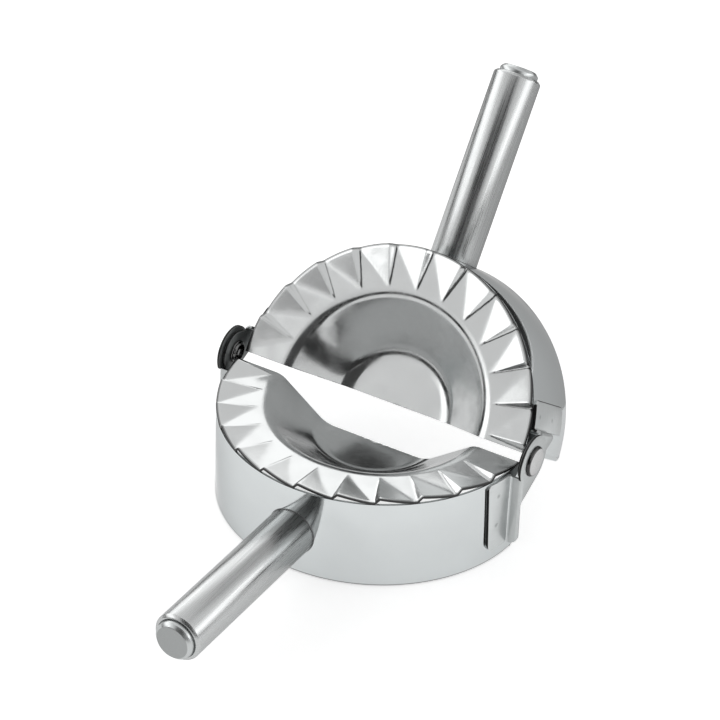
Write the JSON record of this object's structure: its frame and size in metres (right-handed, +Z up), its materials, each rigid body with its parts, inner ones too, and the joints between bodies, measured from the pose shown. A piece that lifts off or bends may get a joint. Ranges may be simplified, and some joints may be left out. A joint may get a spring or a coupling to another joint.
{
  "type": "hinged ravioli mold",
  "caption": "Hinged steel press and cutter for ravioli: two half-moon dishes with fluted rims in deep cutting bands, riveted at both ends, each with a round handle.",
  "frame": {"origin": "on the surface that the front half stands on, under the middle of the whole, handles included", "axes": "+X along the hinge line, to the right seen from the front handle; +Y from the front handle to the rear one; +Z up"},
  "size_m": [0.1058, 0.1882, 0.1108],
  "materials": {
    "front_band": "smooth polished stainless steel sheet",
    "rear_band": "smooth polished stainless steel sheet",
    "front_dish": "bright pressed stainless steel sheet",
    "rear_dish": "bright pressed stainless steel sheet",
    "front_handle": "stainless steel tube, brushed along its length",
    "rear_handle": "stainless steel tube, brushed along its length",
    "front_cap": "turned stainless steel, satin",
    "rear_cap": "turned stainless steel, satin",
    "front_left_bracket": "stainless steel sheet, satin",
    "front_right_bracket": "stainless steel sheet, satin",
    "rear_left_bracket": "stainless steel sheet, satin",
    "rear_right_bracket": "stainless steel sheet, satin",
    "left_rivet": "stainless steel rivet, bright",
    "right_rivet": "stainless steel rivet, bright",
    "left_washer": "stainless steel washer",
    "right_washer": "stainless steel washer"
  },
  "bodies": {
    "front": {"front_band": "front_band", "front_dish": "front_dish", "front_handle": "front_handle", "front_cap": "front_cap", "front_left_bracket": "front_left_bracket", "front_right_bracket": "front_right_bracket", "left_rivet": "left_rivet", "right_rivet": "right_rivet", "left_washer": "left_washer", "right_washer": "right_washer"},
    "rear": {"rear_band": "rear_band", "rear_dish": "rear_dish", "rear_handle": "rear_handle", "rear_cap": "rear_cap", "rear_left_bracket": "rear_left_bracket", "rear_right_bracket": "rear_right_bracket"}
  },
  "joints": [
    {"name": "fold", "type": "hinge", "parent": "front", "child": "rear", "pos_m": [0, 0.01344, 0.0304], "axis": [1, 0, 0], "range_deg": [-54.4, 125.6]}
  ]
}
